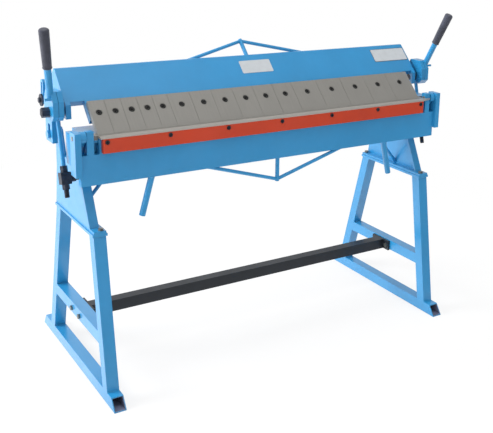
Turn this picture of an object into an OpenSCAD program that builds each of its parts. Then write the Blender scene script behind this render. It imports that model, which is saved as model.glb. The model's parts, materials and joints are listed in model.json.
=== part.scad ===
// Box and pan folder: a hand folding machine for sheet metal on two A-shaped stands.
// The origin is on the floor in the middle of the feet, X runs along the fold line and Y to the rear.

/* [Fingers] */
// Width of a narrow finger
narrow_w = 50.8; // [40:0.1:60]
// Count of narrow fingers
narrow_n = 5; // [3:1:7]
// Width of a medium finger
medium_w = 76.2; // [65:0.1:90]
// Count of medium fingers
medium_n = 6; // [4:1:8]
// Width of a wide finger
wide_w = 101.6; // [92:0.1:120]
// Count of wide fingers
wide_n = 5; // [3:1:7]
// Length of a finger along its slope
finger_len = 120; // [105:1:140]
// Thickness of a finger
finger_t = 15; // [12:0.5:18]
// Slope of the fingers and of the beam's face
finger_angle = 45; // [42:1:48]
// Gap between neighbouring fingers
finger_gap = 0.6; // [0.2:0.1:1]
// Setback of the finger noses behind the fold line
setback = 6; // [5.5:0.5:8]
// Gap between a resting finger and the bed
finger_clear = 0.3; // [0.2:0.1:1]
// Distance of a finger screw from the nose, along the slope
screw_up = 77; // [68:1:90]
// Diameter of a finger screw
screw_d = 10; // [8:0.5:12]
// Diameter of a finger screw's head
screw_head_d = 18; // [15:0.5:20]
// Height of a finger screw's head
screw_head_h = 8; // [5:0.5:9]
// Thickness of the bar that the fingers seat on
seat_t = 20; // [15:1:24]
// Distance of the seat bar's lower edge from the nose, along the slope
seat_up = 62; // [55:1:66]

/* [Bed] */
// Height of the bed's top surface above the floor
bed_z = 810; // [780:1:840]
// Distance of the fold line in front of the stands' middle
fold_front = 192; // [182:1:202]
// Depth of the bed's top plate
bed_top_d = 132; // [125:1:140]
// Thickness of the bed's top plate
bed_top_t = 20; // [16:1:24]
// Overhang of the top plate in front of the bed's box
bed_nose = 14; // [13:0.5:18]
// Depth of the bed's box
bed_box_d = 106; // [90:1:110]
// Height of the bed's box
bed_box_h = 100; // [80:1:115]
// Wall of the bed's box
bed_wall = 8; // [5:0.5:12]
// Depth of the bed's bottom plate
bed_foot_d = 144; // [130:1:150]

/* [Side frames] */
// Distance from the last finger to the outer face of a side frame
frame_margin = 34.4; // [32:0.1:45]
// Thickness of a side frame's plate
frame_t = 12; // [10:0.5:14]
// Width of a side frame's front flange
flange_w = 28; // [20:1:36]
// Thickness of a side frame's base and front flanges
flange_t = 8; // [6:0.5:10]
// Radius of a side frame's rear ear
ear_r = 22; // [18:0.5:26]
// Depth of the notch in front of a rear ear
ear_notch = 20; // [12:1:28]
// Depth of a side frame's rear corner below the rear pivot
rear_corner_drop = 113; // [90:1:130]
// Distance of a side frame's rear corner in front of its foot
rear_corner_in = 22; // [10:1:30]
// Distance of a side frame's front corner behind the bed's box
front_corner_back = 48; // [40:1:56]
// Depth of a side frame's front corner below the bed's box
front_corner_drop = 45; // [36:1:56]
// Distance of the front flange's foot behind the stand's front edge
flange_back = 30; // [26:1:38]
// Inset of a side frame behind the bed
frame_inset = 8; // [4:1:12]
// Diameter of a knee brace
brace_d = 12; // [10:0.5:18]
// Lean of a knee brace from upright
brace_lean = 41; // [35:0.5:50]
// Distance of a knee brace from the rear edge of the bed's bottom plate
brace_inset = 11; // [9:0.5:20]
// Height of a knee brace's foot above the base flange
brace_foot = 4; // [0:0.5:12]

/* [Stands] */
// Length of a foot rail
foot_len = 690; // [660:1:740]
// Slant of a foot rail's ends
foot_cut = 26; // [10:1:30]
// Side of the stands' square tube
tube = 38; // [34:0.5:42]
// Wall of the stands' square tube
tube_wall = 3; // [2:0.5:4]
// Height of the stands
stand_h = 519; // [500:1:530]
// Thickness of a stand's top plate
stand_plate_t = 8; // [6:0.5:10]
// Overhang of a stand's top plate past the tubes
stand_lip = 4; // [0:0.5:8]
// Distance of the front leg's middle from the foot rail's front end
front_leg_inset = 77; // [60:1:90]
// Front leg's middle in front of the stand's middle, at the top
front_leg_high = 197; // [190:1:200]
// Distance of the rear leg's middle from the foot rail's rear end
rear_leg_inset = 106; // [85:1:120]
// Rear leg's middle behind the stand's middle, at the top
rear_leg_high = 109; // [100:1:112]
// Height of a mid rail's top face
mid_rail_z = 214; // [200:1:240]
// Side of the stretcher's square tube
stretcher_tube = 38; // [32:1:40]
// Stretcher's middle in front of the stand's middle
stretcher_front = 20; // [0:1:40]
// Length of a stretcher's end flange
stretcher_flange_l = 100; // [95:1:115]
// Thickness of a stretcher's end flange
stretcher_flange_t = 8; // [6:0.5:10]
// Depth of the stretcher's middle below the mid rails' middle
stretcher_low = 3; // [0:0.5:6]
// Distance between the bolts of a stretcher's end flange
stretcher_pitch = 72; // [66:1:78]
// Diameter of the frame bolts
bolt_d = 10; // [8:1:12]
// Inset of the base bolts from a stand plate's ends
base_bolt_inset = 10; // [9:0.5:14]

/* [Clamping beam] */
// Length of the beam's face along its slope
beam_face = 123; // [110:1:135]
// Gap from a finger's top to the beam's lower edge
beam_gap = 12; // [8:1:16]
// Depth of the beam's lower edge
beam_lip = 24; // [21:1:28]
// Depth of the beam's top edge
beam_top_d = 8; // [5:1:14]
// Wall of the beam
beam_wall = 8; // [5:0.5:10]
// Thickness of the beam's end plates
arm_t = 16; // [12:0.5:18]
// Gap between an end plate and its side frame
arm_gap = 10; // [8:0.5:14]
// Distance of the rear pivots behind the fold line
pivot_back = 276; // [270:1:282]
// Depth of the rear pivots below the bed's top
pivot_drop = 50; // [46:1:56]
// Diameter of a rear pivot pin
pivot_d = 20; // [16:0.5:22]
// Diameter of a rear pivot pin's collar
pivot_collar_d = 34; // [28:0.5:40]
// Diameter of a rear pivot pin's head
pivot_head_d = 26; // [23:0.5:30]
// Thickness of a rear pivot pin's head
pivot_head_t = 8; // [5:0.5:10]
// Width of an end plate's rear leg
arm_leg_w = 64; // [60:1:70]
// Distance of an end plate's front edge in front of the lever shaft
plate_front = 20; // [18:0.5:26]
// Depth of an end plate's lower edge below the lever shaft
plate_low = 23; // [20:0.5:30]
// Length of an end plate's lower edge behind the lever shaft
plate_back = 35; // [28:1:42]
// Drop of an end plate's lower edge at its rear leg
plate_drop = 15; // [8:1:20]
// Distance of a rear leg's end below the rear pivot
leg_end = 24; // [20:0.5:30]
// Offset of a rear leg's middle behind the rear pivot
leg_off = 2; // [0:0.5:6]
// Height of a rear leg's top above the lever shaft
leg_rise = 17; // [10:1:24]
// Length of the slot above a rear pivot
pivot_slot = 34; // [20:1:40]
// Width of a slotted bar
slot_bar_w = 26; // [22:0.5:30]
// Thickness of a slotted bar
slot_bar_t = 12; // [8:0.5:14]
// Height of a slotted bar between its ends' middles
slot_bar_rise = 53; // [45:1:65]
// Forward lean of a slotted bar over its height
slot_bar_lean = 3; // [0:0.5:16]
// Width of the slot in a slotted bar
slot_w = 9; // [6:0.5:12]
// Distance of a slotted bar's bolt in front of the rear leg's back
slot_bolt_in = 14; // [12:0.5:20]
// Distance of a slotted bar's bolt below the rear leg's top
slot_bolt_low = 16; // [12:0.5:22]
// Diameter of a slotted bar's washer
washer_d = 39; // [30:0.5:40]
// Thickness of a slotted bar's washer
washer_t = 5; // [2:0.5:6]
// Diameter of a truss rod
truss_d = 12; // [8:0.5:13]
// Diameter of a truss post
truss_post_d = 14; // [13.5:0.5:16]
// Distance of the beam's truss apex from the beam's back, along the slope
beam_truss_rise = 77; // [70:1:100]
// Depth of the beam's truss feet below the beam's top
beam_truss_low = 15; // [12:0.5:24]
// Half span of the beam's truss
beam_truss_half = 262; // [220:1:340]

/* [Clamp levers] */
// Distance of a lever shaft behind the fold line
shaft_back = 122; // [118:1:126]
// Height of a lever shaft above the bed's top
shaft_up = 56; // [52:1:60]
// Diameter of a lever shaft
shaft_d = 24; // [20:0.5:26]
// Diameter of a lever shaft's thread
stud_d = 20; // [16:0.5:20]
// Throw of the eccentric
throw = 5; // [4:0.25:5.5]
// Angle of the eccentric above the horizontal, behind the shaft
throw_angle = 40; // [32:1:45]
// Diameter of the eccentric
ecc_d = 36; // [35:0.5:38]
// Radial clearance of an eccentric in its strap
strap_gap = 0.8; // [0.7:0.1:1.2]
// Thickness of an eccentric strap
strap_t = 15.5; // [12:0.5:18]
// Thickness of a lever's hub
hub_t = 16; // [14:0.5:20]
// Gap between a strap and its lever's hub
strap_side = 1; // [0.5:0.1:2]
// Gap between an end plate and its strap
strap_off = 11.5; // [9:0.5:13]
// Half depth of a strap and of a hub
hub_half = 43; // [40:0.5:46]
// Depth of a strap and of a hub below the shaft
hub_low = 23; // [22:0.5:28]
// Height of a strap and of a hub above the shaft
hub_high = 64; // [56:0.5:70]
// Height of a hub's front face above the shaft
hub_shoulder = 35; // [32:0.5:42]
// Depth of the slanted top corners of a strap and of a hub
hub_slant = 18; // [12:0.5:22]
// Cut of the lower corners of a strap and of a hub
hub_cut = 15; // [8:0.5:16]
// Diameter of the stop pin on a hub
hub_pin_d = 8; // [6:0.5:10]
// Length of the stop pin on a hub
hub_pin_len = 20; // [14:1:24]
// Distance of the stop pin in front of the shaft
hub_pin_front = 31; // [26:0.5:33]
// Height of the stop pin above the shaft
hub_pin_up = 44; // [40:0.5:46]
// Forward lean of the left lever
left_lever_lean = 17.6; // [14:0.1:28]
// Forward lean of the right lever
right_lever_lean = 24; // [14:0.1:28]
// Outward splay of a lever
lever_splay = 7.5; // [6:0.1:12]
// Diameter of a lever's bar
lever_d = 21; // [18:0.5:24]
// Distance of a grip's lower end from the shaft
grip_from = 146; // [130:1:170]
// Length of a grip
grip_len = 123; // [110:1:140]
// Diameter of a grip
grip_d = 30; // [27:0.5:34]
// Bevel on a grip's lower end
grip_bevel = 3; // [1:0.5:4]
// Radius of a grip's round end
grip_round = 7; // [4:0.5:10]
// Width of a shaft nut across its flats
nut_af = 27; // [26:0.5:32]
// Height of a shaft nut
nut_h = 11; // [8:0.5:14]

/* [Clamp links] */
// Distance of a trunnion behind the fold line
trunnion_back = 76; // [70:1:82]
// Depth of a trunnion below the bed's top
trunnion_drop = 137; // [130:1:142]
// Diameter of a link rod
link_d = 13; // [11:0.5:15]
// Length of a link rod below its trunnion
link_tail = 58; // [50:1:70]
// Width of a trunnion block
trunnion_w = 30; // [26:0.5:34]
// Height of a trunnion block
trunnion_h = 36; // [30:1:42]
// Diameter of a trunnion's pin
trunnion_pin_d = 16; // [12:0.5:18]
// Diameter of a trunnion's collar at its side frame
collar_d = 20; // [18:0.5:22]
// Diameter of a trunnion's collar at its block
collar_big_d = 27; // [24:0.5:29]
// Height of the nut above a trunnion
upper_nut_h = 19; // [12:0.5:22]
// Height of the nut below a trunnion
lower_nut_h = 16; // [10:0.5:20]

/* [Apron] */
// Height of the apron's lower edge below the fold line
apron_drop = 145; // [130:1:155]
// Thickness of the apron
apron_t = 21; // [18:0.5:21]
// Distance of the apron's front face in front of the fold line
apron_front = 10; // [9:0.5:12]
// Depth of the apron's shoulders below the fold line
shoulder_drop = 53; // [50:1:58]
// Thickness of the orange edge bar
edge_bar_t = 16; // [12:0.5:20]
// Height of the orange edge bar
edge_bar_h = 43; // [36:0.5:45]
// Distance from the last finger's side in to the end of the edge bar
edge_bar_short = 3.6; // [1:0.1:8]
// Depth of the apron's lip below the bed's top plate
lip_drop = 4; // [2:0.5:8]
// Count of the edge bar's screws
edge_screw_n = 7; // [4:1:10]
// Distance of the first edge bar screw from the bar's end
edge_screw_inset = 13; // [11:0.5:20]
// Diameter of an edge bar screw's head
edge_screw_d = 13; // [10:0.5:15]
// Diameter of an edge bar screw
edge_bolt_d = 8; // [6:0.5:10]
// Depth of the edge bar's screws below the bar's top
edge_screw_low = 10; // [8.5:0.5:18]
// Recess of the edge bar's screw heads
edge_screw_sink = 5; // [3:0.5:7]
// Height of an edge bar screw's head
edge_screw_h = 7; // [5:0.5:9]
// Width of the bevel on the bending blade's front edge
blade_bevel = 5; // [2:0.5:8]
// Thickness of the bending blade
blade_t = 5.6; // [4:0.1:7]
// Overhang of the bending blade past the edge bar's left end
blade_left = 6; // [0:1:20]
// Overhang of the bending blade past the edge bar's right end
blade_right = 42; // [0:1:44]
// Width of the bending blade's slanted right end
blade_tip = 3; // [1:0.5:6]
// Thickness of a hinge block
hinge_block_t = 32; // [26:0.5:33]
// Depth of a hinge block
hinge_block_d = 65; // [55:1:75]
// Height of a hinge block
hinge_block_h = 96; // [80:1:98]
// Thickness of a hinge lug
lug_t = 16; // [12:0.5:20]
// Depth of a hinge lug's foot below the fold line
lug_foot = 55; // [40:1:70]
// Gap between a side frame and its hinge lug
lug_gap = 7; // [6:0.5:10]
// Side gap between a lug and the hinge arms
hinge_gap = 2.2; // [0.8:0.1:3]
// Thickness of an outer hinge arm
hinge_arm_t = 18.5; // [14:0.5:20]
// Thickness of an inner hinge cheek
cheek_t = 21; // [16:0.5:22]
// Height of the hinge arms above the fold line
hinge_top = 17; // [15:0.5:18]
// Length of an outer hinge arm below the fold line
hinge_arm_drop = 113; // [100:1:125]
// Distance of an outer hinge arm's front face in front of the fold line
hinge_arm_front = 23; // [18:0.5:26]
// Distance of an outer hinge arm's back face behind the fold line
hinge_arm_back = 21; // [16:0.5:23]
// Diameter of a hinge pin
hinge_pin_d = 14; // [10:0.5:15]
// Diameter of a handle bar
handle_d = 20; // [16:0.5:24]
// Distance of a handle bar from the middle
handle_x = 448; // [380:1:480]
// Reach of a handle bar below the apron
handle_reach = 122; // [100:1:150]
// Outward splay of a handle bar
handle_splay = 14.5; // [10:0.5:22]
// Forward lean of a handle bar
handle_lean = -2; // [-5:0.5:8]
// Depth of the apron's truss below the apron
apron_truss_drop = 75; // [60:1:90]
// Half span of the apron's truss
apron_truss_half = 250; // [220:1:340]

/* [Clearances] */
// Radial clearance of a running pin or shaft
run_gap = 0.05; // [0.02:0.01:0.1]
// Clearance of a fixed bolt or screw in its hole
bolt_gap = 0.2; // [0.1:0.05:0.5]
// Gap between the fold line and the bed's front edge
bed_gap = 0.5; // [0.3:0.1:1]
// Gap between the fold line and the apron's lip
edge_gap = 1.2; // [0.8:0.1:2]
// Gap between the fold line and the blade's top
blade_gap = 0.4; // [0.3:0.1:0.8]
// Side gap of a pin's collar
collar_gap = 0.3; // [0.2:0.1:0.6]
// Room behind the fold line for the turning hinge arms
hinge_sweep = 30; // [28:0.5:36]

/* [Hidden] */
$fn = 48;

// Colours
blue = "#3d93cf";
orange = "#d04a2a";
steel = "#9a9890";
black = "#26282c";
grip_grey = "#3c3c46";

// Places along X, from the middle outward
half_work = (narrow_w * narrow_n + medium_w * medium_n + wide_w * wide_n) / 2;
frame_out = half_work + frame_margin;
frame_in = frame_out - frame_t;
rail_in = frame_out - tube;
arm_in = frame_out + arm_gap;
arm_out = arm_in + arm_t;
strap_in = arm_out + strap_off;
strap_out = strap_in + strap_t;
hub_in = strap_out + strap_side;
hub_out = hub_in + hub_t;
hub_mid = (hub_in + hub_out) / 2;
link_x = (strap_in + strap_out) / 2;
lug_in = frame_out + lug_gap;
lug_out = lug_in + lug_t;
apron_half = lug_out + hinge_gap;
hinge_arm_out = apron_half + hinge_arm_t;
cheek_out = lug_in - hinge_gap;
cheek_in = cheek_out - cheek_t;

// Fold line, and the bed around it
fold_y = -fold_front;
bed_front = fold_y + bed_gap;
bed_back = bed_front + bed_top_d;
box_front = bed_front + bed_nose;
box_back = box_front + bed_box_d;
box_top = bed_z - bed_top_t;
box_low = box_top - bed_box_h;
notch_x = cheek_in - hinge_gap;

// Overlap of two shapes that make one piece, and the run of a cutter past a face
sink = 2;
past = 1;

// Stand and side frame
front_leg_low = foot_len / 2 - front_leg_inset;
rear_leg_low = foot_len / 2 - rear_leg_inset;
leg_top = stand_h - stand_plate_t;
frame_low = stand_h + flange_t;
bolt_x = (rail_in + frame_in) / 2;
stand_front = -front_leg_high - tube / 2 - stand_lip;
stand_back = rear_leg_high + tube / 2 + stand_lip;
frame_front = stand_front + flange_back;
bolt_head_af = 1.5 * bolt_d;
bolt_head_h = 0.65 * bolt_d;
stretcher_y = -stretcher_front;
stretcher_z = mid_rail_z - tube / 2 - stretcher_low;
stretcher_end = rail_in - stretcher_flange_t;

// Slope of the fingers: u runs up along it, v stands square to its front face
nose = [fold_y + setback, bed_z + finger_clear];
function slope(u, v) = [
    nose[0] + u * cos(finger_angle) - v * sin(finger_angle),
    nose[1] + u * sin(finger_angle) + v * cos(finger_angle)
];

// Clamping beam
beam_low_u = finger_len + beam_gap;
beam_top = slope(beam_low_u + beam_face, -finger_t);
beam_low_v = -finger_t - beam_lip;
beam_low_z = slope(beam_low_u, beam_low_v)[1];
beam_back = beam_top[0] + beam_top_d;
seat_half = half_work + 2 * finger_gap;
screw_sink = screw_head_h + 1;
screw_reach = finger_t - screw_sink + 0.8 * seat_t;
sheet_v = -finger_t - beam_wall;

// Lever shaft, eccentric, trunnion and rear pivot
shaft = [fold_y + shaft_back, bed_z + shaft_up];
ecc = shaft + throw * [cos(throw_angle), sin(throw_angle)];
trunnion = [fold_y + trunnion_back, bed_z - trunnion_drop];
link_len = norm(ecc - trunnion);
link_tilt = -atan2(ecc[0] - trunnion[0], ecc[1] - trunnion[1]);
pivot = [fold_y + pivot_back, bed_z - pivot_drop];
arm_leg_front = pivot[0] + leg_off - arm_leg_w / 2;
arm_leg_back = arm_leg_front + arm_leg_w;
arm_leg_top = shaft[1] + leg_rise;
slot_bar_foot = [arm_leg_back - slot_bolt_in, arm_leg_top - slot_bolt_low];
slot_bar_out = arm_out + slot_bar_t;
hub_pin = shaft + [-hub_pin_front, hub_pin_up];

// Apron
lip_half = half_work + 2 * edge_gap;
edge_bar_half = half_work - edge_bar_short;
edge_bar_top = -blade_t - blade_gap;
apron_mid = fold_y - apron_front + apron_t / 2;
apron_low = bed_z - apron_drop;

// Basic shapes

module side(s) {
    if (s > 0) children();
    else mirror([1, 0, 0]) children();
}

// A profile in Y and Z, drawn out from x0 to x1
module along_x(x0, x1) {
    translate([x0, 0, 0]) rotate([90, 0, 90]) linear_extrude(x1 - x0) children();
}

module x_cylinder(x0, x1, at, d) {
    translate([x0, at[0], at[1]]) rotate([0, 90, 0]) cylinder(d = d, h = x1 - x0);
}

module x_hexagon(x0, x1, at, af) {
    translate([x0, at[0], at[1]]) rotate([0, 90, 0]) cylinder(d = af / cos(30), h = x1 - x0, $fn = 6);
}

module rod(from, to, d) {
    run = to - from;
    translate(from)
        rotate([0, acos(run[2] / norm(run)), atan2(run[1], run[0])])
            cylinder(d = d, h = norm(run));
}

// Places its children on the finger slope, with Z standing out of it
module on_slope(x, u, v) {
    at = slope(u, v);
    translate([x, at[0], at[1]]) rotate([finger_angle, 0, 0]) children();
}

// Stand

function leg_y(low, high, z) = low + (high - low) * (z - tube) / (leg_top - tube);
function leg_half(low, high, width) = width / 2 / cos(atan2(high - low, leg_top - tube));

module leg_profile(low, high, width) {
    half = leg_half(low, high, width);
    polygon([[low - half, tube], [low + half, tube], [high + half, leg_top], [high - half, leg_top]]);
}

module leg(low, high) {
    difference() {
        along_x(rail_in, frame_out) leg_profile(low, high, tube);
        along_x(rail_in + tube_wall, frame_out - tube_wall)
            leg_profile(low, high, tube - 2 * tube_wall);
    }
}

module foot_rail() {
    half = foot_len / 2;
    difference() {
        along_x(rail_in, frame_out)
            polygon([[-half, 0], [half, 0], [half - foot_cut, tube], [foot_cut - half, tube]]);
        translate([rail_in + tube_wall, -half, tube_wall])
            cube([tube - 2 * tube_wall, foot_len, tube - 2 * tube_wall]);
    }
}

// A rail's side view between the legs, from z0 to z1
module between_legs(z0, z1) {
    front = leg_half(-front_leg_low, -front_leg_high, tube);
    back = leg_half(rear_leg_low, rear_leg_high, tube);
    polygon([
        for (z = [z0, z1]) [leg_y(-front_leg_low, -front_leg_high, z) + front, z],
        for (z = [z1, z0]) [leg_y(rear_leg_low, rear_leg_high, z) - back, z]
    ]);
}

module at_stretcher_bolts() {
    for (s = [-1, 1]) translate([0, stretcher_y + s * stretcher_pitch / 2, stretcher_z]) children();
}

module mid_rail() {
    low = mid_rail_z - tube;
    difference() {
        along_x(rail_in, frame_out) between_legs(low, mid_rail_z);
        along_x(rail_in + tube_wall, frame_out - tube_wall)
            between_legs(low + tube_wall, mid_rail_z - tube_wall);
        at_stretcher_bolts() x_cylinder(rail_in - past, frame_out + past, [0, 0], bolt_d + 2 * bolt_gap);
    }
}

module at_base_bolts() {
    for (y = [stand_front + base_bolt_inset, stand_back - base_bolt_inset])
        translate([bolt_x, y, 0]) children();
}

module base_bolt_holes() {
    at_base_bolts() translate([0, 0, leg_top - past])
        cylinder(d = bolt_d + 2 * bolt_gap, h = stand_plate_t + flange_t + 2 * past);
}

module stand_plate() {
    difference() {
        translate([rail_in - stand_lip, stand_front, leg_top])
            cube([tube + 2 * stand_lip, stand_back - stand_front, stand_plate_t]);
        base_bolt_holes();
    }
}

module stretcher_tube_solid() {
    inner = stretcher_tube - 2 * tube_wall;
    length = 2 * (stretcher_end + sink);
    translate([0, stretcher_y, stretcher_z])
        difference() {
            cube([length, stretcher_tube, stretcher_tube], center = true);
            cube([length + 2 * past, inner, inner], center = true);
        }
}

module stretcher_flange() {
    difference() {
        translate([stretcher_end, stretcher_y - stretcher_flange_l / 2, stretcher_z - stretcher_tube / 2])
            cube([stretcher_flange_t, stretcher_flange_l, stretcher_tube]);
        at_stretcher_bolts()
            x_cylinder(stretcher_end - past, rail_in + past, [0, 0], bolt_d + 2 * bolt_gap);
    }
}

module frame_bolt_set() {
    at_stretcher_bolts() {
        x_cylinder(stretcher_end - sink, frame_out + sink, [0, 0], bolt_d);
        x_hexagon(frame_out, frame_out + bolt_head_h, [0, 0], bolt_head_af);
        x_hexagon(stretcher_end - bolt_head_h, stretcher_end, [0, 0], bolt_head_af);
    }
    at_base_bolts() {
        translate([0, 0, leg_top]) cylinder(d = bolt_d, h = frame_low + sink - leg_top);
        translate([0, 0, frame_low]) cylinder(d = bolt_head_af / cos(30), h = bolt_head_h, $fn = 6);
    }
}

// Side frames and bed

front_corner = [box_front + front_corner_back, box_low - front_corner_drop];

module side_frame_profile() {
    notch_z = box_low + frame_inset;
    polygon([
        [frame_front, stand_h], [stand_back, stand_h],
        [stand_back - rear_corner_in, pivot[1] - rear_corner_drop],
        [pivot[0] + ear_r, pivot[1]], [pivot[0] - ear_r, pivot[1]],
        [pivot[0] - ear_r - ear_notch, notch_z], [bed_back - frame_inset, notch_z],
        [bed_back - frame_inset, box_top], [box_front, box_top], [box_front, box_low], front_corner
    ]);
    translate(pivot) circle(r = ear_r);
}

// The strip along the sloped front edge of a side frame
module front_flange_profile() {
    low = [frame_front, stand_h];
    polygon([low, front_corner, front_corner + [flange_t, 0], low + [flange_t, 0]]);
}

module side_frame() {
    difference() {
        union() {
            along_x(frame_in, frame_out) side_frame_profile();
            along_x(frame_out - flange_w, frame_out) front_flange_profile();
            translate([rail_in, stand_front, stand_h])
                cube([tube, stand_back - stand_front, flange_t]);
        }
        base_bolt_holes();
        x_cylinder(frame_in - past, frame_out + past, pivot, pivot_d + 2 * run_gap);
        x_cylinder(frame_in - past, frame_out + past, trunnion, trunnion_pin_d + 2 * run_gap);
    }
}

module bed() {
    inner_d = bed_box_d - 2 * bed_wall;
    inner_h = bed_box_h - 2 * bed_wall;
    color(blue)
        difference() {
            union() {
                translate([-frame_out, bed_front, box_top])
                    cube([2 * frame_out, bed_top_d, bed_top_t]);
                translate([-frame_in, box_front, box_low])
                    cube([2 * frame_in, bed_box_d, bed_box_h + sink]);
                translate([-frame_in, box_front, box_low])
                    cube([2 * frame_in, bed_foot_d, bed_wall]);
            }
            translate([-frame_in - past, box_front + bed_wall, box_low + bed_wall])
                cube([2 * (frame_in + past), inner_d, inner_h]);
            for (s = [-1, 1]) side(s)
                translate([notch_x, bed_front - past, box_low - past])
                    cube([frame_out, hinge_sweep - past, bed_box_h + bed_top_t + 2 * past]);
        }
}

// Block at the bed's end with the lug that carries the apron's hinge pin
module hinge_block() {
    block_front = fold_y + hinge_sweep;
    difference() {
        union() {
            translate([frame_out, block_front, bed_z - hinge_block_h])
                cube([hinge_block_t, hinge_block_d, hinge_block_h]);
            along_x(lug_in, lug_out)
                polygon([
                    [fold_y, bed_z + hinge_top], [block_front, bed_z], [block_front + sink, bed_z],
                    [block_front + sink, bed_z - lug_foot], [block_front, bed_z - lug_foot],
                    [fold_y, bed_z - hinge_top]
                ]);
            x_cylinder(lug_in, lug_out, [fold_y, bed_z], 2 * hinge_top);
        }
        x_cylinder(lug_in - past, lug_out + past, [fold_y, bed_z], hinge_pin_d + 2 * run_gap);
    }
}

// Slanting rod from the corner of the side frame and its base flange up to the bed
module brace() {
    y = box_front + bed_foot_d - brace_inset;
    foot = [frame_in, y, frame_low + brace_foot];
    slant = [-sin(brace_lean), 0, cos(brace_lean)];
    rise = box_low - frame_low;
    intersection() {
        rod(foot - 2 * brace_d * slant, foot + (rise / cos(brace_lean) + 2 * brace_d) * slant, brace_d);
        translate([0, y - brace_d, frame_low]) cube([frame_in, 2 * brace_d, rise]);
    }
}

module rear_pivot_pin() {
    x_cylinder(frame_in - sink, arm_out + pivot_head_t, pivot, pivot_d);
    x_cylinder(frame_out + collar_gap, arm_in - collar_gap, pivot, pivot_collar_d);
    x_cylinder(arm_out + collar_gap, arm_out + pivot_head_t, pivot, pivot_head_d);
}

// Clamping beam

// The beam's face is a sheet that also covers the end plates
module beam_sheet_profile() {
    polygon([
        slope(beam_low_u, -finger_t), beam_top,
        slope(beam_low_u + beam_face, sheet_v), slope(beam_low_u, sheet_v)
    ]);
}

module clamp_beam() {
    w = beam_wall;
    in_u = (beam_back - w - nose[0] + sheet_v * sin(finger_angle)) / cos(finger_angle);
    low_u = beam_low_u + w;
    low_v = (beam_low_z + w - nose[1] - low_u * sin(finger_angle)) / cos(finger_angle);
    color(blue) {
        difference() {
            along_x(-arm_in, arm_in)
                polygon([
                    slope(beam_low_u, -finger_t), beam_top, [beam_back, beam_top[1]],
                    [beam_back, beam_low_z], slope(beam_low_u, beam_low_v)
                ]);
            along_x(-arm_in - past, arm_in + past)
                polygon([
                    slope(low_u, sheet_v), slope(in_u, sheet_v),
                    [beam_back - w, beam_low_z + w], slope(low_u, low_v)
                ]);
        }
        along_x(-arm_out, arm_out) beam_sheet_profile();
    }
}

module beam_plate() {
    front = shaft[0] - plate_front;
    low = shaft[1] - plate_low;
    front_u = (front - nose[0] - finger_t * sin(finger_angle)) / cos(finger_angle);
    leg_low = pivot[1] - leg_end;
    difference() {
        along_x(arm_in, arm_out)
            polygon([
                [beam_back, beam_top[1]], beam_top, slope(beam_low_u + beam_face, sheet_v),
                slope(beam_low_u, sheet_v), slope(beam_low_u, -finger_t), slope(front_u, -finger_t),
                [front, low], [shaft[0] + plate_back, low], [arm_leg_front, low - plate_drop],
                [arm_leg_front, leg_low], [arm_leg_back, leg_low], [arm_leg_back, arm_leg_top]
            ]);
        x_cylinder(arm_in - past, arm_out + past, shaft, shaft_d + 2 * run_gap);
        x_cylinder(arm_in - past, arm_out + past, pivot, pivot_d + 2 * run_gap);
        along_x(arm_in - past, arm_out + past)
            band(pivot, pivot + [0, pivot_slot], pivot_d + 2 * run_gap);
        x_cylinder(arm_in - past, arm_out + past, slot_bar_foot, bolt_d + 2 * bolt_gap);
    }
}

// Middles of the n fingers of width w that begin at width_before from the left end
function finger_middles(width_before, w, n) = [
    for (i = [0 : n - 1]) -half_work + width_before + (i + 0.5) * w
];
narrow_middles = finger_middles(0, narrow_w, narrow_n);
medium_middles = finger_middles(narrow_w * narrow_n, medium_w, medium_n);
wide_middles = finger_middles(narrow_w * narrow_n + medium_w * medium_n, wide_w, wide_n);

module finger_profile() {
    nose_u = finger_t / tan(finger_angle);
    polygon([slope(0, 0), slope(finger_len, 0), slope(finger_len, -finger_t), slope(nose_u, -finger_t)]);
}

module finger(x, w) {
    half = (w - finger_gap) / 2;
    difference() {
        along_x(x - half, x + half) finger_profile();
        on_slope(x, screw_up, -finger_t - past)
            cylinder(d = screw_d + 2 * bolt_gap, h = finger_t + 2 * past);
        on_slope(x, screw_up, -screw_sink) cylinder(d = screw_head_d + 2, h = screw_sink + past);
    }
}

module fingers(middles, w) {
    color(steel)
        for (x = middles) finger(x, w);
}

module finger_screw(x) {
    on_slope(x, screw_up, -screw_sink)
        difference() {
            union() {
                translate([0, 0, -screw_reach]) cylinder(d = screw_d, h = screw_reach + sink);
                cylinder(d = screw_head_d, h = screw_head_h);
            }
            translate([0, 0, 0.4 * screw_head_h])
                cylinder(d = 0.55 * screw_head_d, h = screw_head_h, $fn = 6);
        }
}

module finger_seat_bar() {
    color(blue)
        difference() {
            along_x(-seat_half, seat_half)
                polygon([
                    slope(seat_up, -finger_t), slope(beam_low_u, -finger_t),
                    slope(beam_low_u, -finger_t - seat_t), slope(seat_up, -finger_t - seat_t)
                ]);
            for (x = concat(narrow_middles, medium_middles, wide_middles))
                on_slope(x, screw_up, -screw_sink - screw_reach)
                    cylinder(d = screw_d + 2 * bolt_gap, h = screw_reach);
        }
}

// Point of the beam's truss at a distance up the slope from the beam's back plate
function truss_at(x, rise) = [
    x, beam_back + rise * cos(finger_angle), beam_top[1] - beam_truss_low + rise * sin(finger_angle)
];

module beam_truss_rod() {
    apex = truss_at(0, beam_truss_rise);
    foot = truss_at(beam_truss_half, 0);
    end = foot + (foot - apex) / norm(foot - apex) * truss_d;
    difference() {
        rod(apex, end, truss_d);
        translate([0, beam_back - 2 * truss_d, foot[2] - 3 * truss_d])
            cube([2 * beam_truss_half, 2 * truss_d, 6 * truss_d]);
        rod(truss_at(0, -truss_d), truss_at(0, beam_truss_rise + 2 * truss_d), truss_post_d);
        translate([-2 * truss_d, apex[1] - 2 * truss_d, apex[2] - 2 * truss_d])
            cube([2 * truss_d, 4 * truss_d, 4 * truss_d]);
    }
}

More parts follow.
